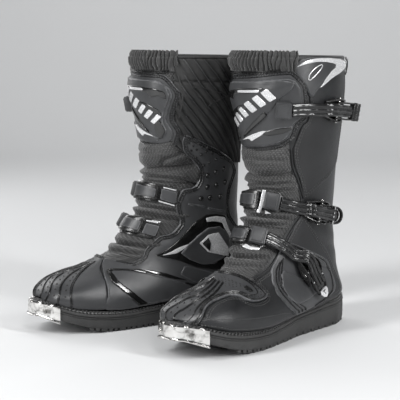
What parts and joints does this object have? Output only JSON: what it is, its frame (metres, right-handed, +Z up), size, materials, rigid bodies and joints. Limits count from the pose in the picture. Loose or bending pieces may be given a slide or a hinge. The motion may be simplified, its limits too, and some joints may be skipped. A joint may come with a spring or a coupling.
{
  "type": "riding boots",
  "caption": "Pair of tall off-road riding boots with moulded guards, steel toe plates and hinged lever buckles.",
  "frame": {"origin": "centre of the pair's footprint, on the ground", "axes": "+Z up, toes towards -Y, the wearer's left boot at +X"},
  "size_m": [0.2696, 0.3238, 0.306],
  "materials": {
    "leather": "smooth full-grain, semi-matt",
    "flex_textile": "embossed flex leather, matt",
    "ribbed_rubber": "ribbed, dead matt",
    "moulded_tpu": "injection moulded, satin",
    "gloss_plastic": "gloss",
    "buckle_plastic": "glass-filled nylon, satin",
    "strap_plastic": "moulded ladder strap, semi-gloss",
    "collar_textile": "gathered elastic textile",
    "lining_textile": "mesh lining",
    "footbed_foam": "textile-covered foam",
    "sole_rubber": "moulded rubber, matt",
    "welt_rubber": "stitched rubber welt",
    "steel": "polished steel",
    "silver_trim": "silver print under gloss"
  },
  "bodies": {
    "right_boot": {"right_outsole": "sole_rubber", "right_welt": "welt_rubber", "right_footbed": "footbed_foam", "right_toe_plate": "steel", "right_lining": "lining_textile", "right_collar": "collar_textile", "right_flex_panel": "flex_textile", "right_leather_upper": "leather", "right_calf_panel": "ribbed_rubber", "right_shin_plate": "moulded_tpu", "right_medial_shell": "moulded_tpu", "right_toe_cap": "moulded_tpu", "right_ankle_guard": "moulded_tpu", "right_instep_carrier": "gloss_plastic", "right_forefoot_carrier": "gloss_plastic", "right_top_keeper": "buckle_plastic", "right_middle_keeper": "buckle_plastic", "right_lower_keeper": "buckle_plastic", "right_top_buckle_base": "buckle_plastic", "right_middle_buckle_base": "buckle_plastic", "right_lower_buckle_base": "buckle_plastic", "right_top_lever_pin": "steel", "right_middle_lever_pin": "steel", "right_lower_lever_pin": "steel"},
    "right_top_strap": {"right_top_strap": "strap_plastic"},
    "right_top_lever": {"right_top_lever": "buckle_plastic"},
    "right_middle_strap": {"right_middle_strap": "strap_plastic"},
    "right_middle_lever": {"right_middle_lever": "buckle_plastic"},
    "right_lower_strap": {"right_lower_strap": "strap_plastic"},
    "right_lower_lever": {"right_lower_lever": "buckle_plastic"},
    "left_boot": {"left_outsole": "sole_rubber", "left_welt": "welt_rubber", "left_footbed": "footbed_foam", "left_toe_plate": "steel", "left_lining": "lining_textile", "left_collar": "collar_textile", "left_flex_panel": "flex_textile", "left_leather_upper": "leather", "left_calf_panel": "ribbed_rubber", "left_shin_plate": "moulded_tpu", "left_medial_shell": "moulded_tpu", "left_toe_cap": "moulded_tpu", "left_ankle_guard": "moulded_tpu", "left_instep_carrier": "gloss_plastic", "left_forefoot_carrier": "gloss_plastic", "left_top_keeper": "buckle_plastic", "left_middle_keeper": "buckle_plastic", "left_lower_keeper": "buckle_plastic", "left_top_buckle_base": "buckle_plastic", "left_middle_buckle_base": "buckle_plastic", "left_lower_buckle_base": "buckle_plastic", "left_top_lever_pin": "steel", "left_middle_lever_pin": "steel", "left_lower_lever_pin": "steel"},
    "left_top_strap": {"left_top_strap": "strap_plastic"},
    "left_top_lever": {"left_top_lever": "buckle_plastic"},
    "left_middle_strap": {"left_middle_strap": "strap_plastic"},
    "left_middle_lever": {"left_middle_lever": "buckle_plastic"},
    "left_lower_strap": {"left_lower_strap": "strap_plastic"},
    "left_lower_lever": {"left_lower_lever": "buckle_plastic"}
  },
  "joints": [
    {"name": "left_boot_lift", "type": "slide", "parent": "right_boot", "child": "left_boot", "axis": [0, 0, 1], "range_m": [0, 0.35]},
    {"name": "right_top_lever_hinge", "type": "hinge", "parent": "right_boot", "child": "right_top_lever", "pos_m": [-0.11991, 0.05866, 0.24698], "axis": [-0.1028, 0.1207, 0.9873], "range_deg": [0, 98]},
    {"name": "right_top_strap_swing", "type": "hinge", "parent": "right_boot", "child": "right_top_strap", "pos_m": [-0.11457, -0.0046, 0.24822], "axis": [-0.1028, 0.1207, 0.9873], "range_deg": [0, 19]},
    {"name": "right_middle_lever_hinge", "type": "hinge", "parent": "right_boot", "child": "right_middle_lever", "pos_m": [-0.10695, 0.04665, 0.13465], "axis": [-0.0037, 0.2405, 0.9706], "range_deg": [0, 98]},
    {"name": "right_middle_strap_swing", "type": "hinge", "parent": "right_boot", "child": "right_middle_strap", "pos_m": [-0.0987, -0.0062, 0.14807], "axis": [-0.0037, 0.2405, 0.9706], "range_deg": [0, 19]},
    {"name": "right_lower_lever_hinge", "type": "hinge", "parent": "right_boot", "child": "right_lower_lever", "pos_m": [-0.11579, 0.02499, 0.0752], "axis": [0.101, 0.8599, 0.5004], "range_deg": [0, 98]},
    {"name": "right_lower_strap_swing", "type": "hinge", "parent": "right_boot", "child": "right_lower_strap", "pos_m": [-0.09915, -0.02628, 0.11266], "axis": [0.101, 0.8599, 0.5004], "range_deg": [0, 19]},
    {"name": "left_top_lever_hinge", "type": "hinge", "parent": "left_boot", "child": "left_top_lever", "pos_m": [0.11991, 0.10066, 0.24698], "axis": [-0.1028, -0.1207, -0.9873], "range_deg": [0, 98]},
    {"name": "left_top_strap_swing", "type": "hinge", "parent": "left_boot", "child": "left_top_strap", "pos_m": [0.11457, 0.0374, 0.24822], "axis": [-0.1028, -0.1207, -0.9873], "range_deg": [0, 19]},
    {"name": "left_middle_lever_hinge", "type": "hinge", "parent": "left_boot", "child": "left_middle_lever", "pos_m": [0.10695, 0.08865, 0.13465], "axis": [-0.0037, -0.2405, -0.9706], "range_deg": [0, 98]},
    {"name": "left_middle_strap_swing", "type": "hinge", "parent": "left_boot", "child": "left_middle_strap", "pos_m": [0.0987, 0.0358, 0.14807], "axis": [-0.0037, -0.2405, -0.9706], "range_deg": [0, 19]},
    {"name": "left_lower_lever_hinge", "type": "hinge", "parent": "left_boot", "child": "left_lower_lever", "pos_m": [0.11579, 0.06699, 0.0752], "axis": [0.101, -0.8599, -0.5004], "range_deg": [0, 98]},
    {"name": "left_lower_strap_swing", "type": "hinge", "parent": "left_boot", "child": "left_lower_strap", "pos_m": [0.09915, 0.01572, 0.11266], "axis": [0.101, -0.8599, -0.5004], "range_deg": [0, 19]}
  ],
  "couplings": [
    {"joint": "right_top_strap_swing", "follows": "right_top_lever_hinge", "ratio": 0.19},
    {"joint": "right_middle_strap_swing", "follows": "right_middle_lever_hinge", "ratio": 0.19},
    {"joint": "right_lower_strap_swing", "follows": "right_lower_lever_hinge", "ratio": 0.19},
    {"joint": "left_top_strap_swing", "follows": "left_top_lever_hinge", "ratio": 0.19},
    {"joint": "left_middle_strap_swing", "follows": "left_middle_lever_hinge", "ratio": 0.19},
    {"joint": "left_lower_strap_swing", "follows": "left_lower_lever_hinge", "ratio": 0.19}
  ]
}
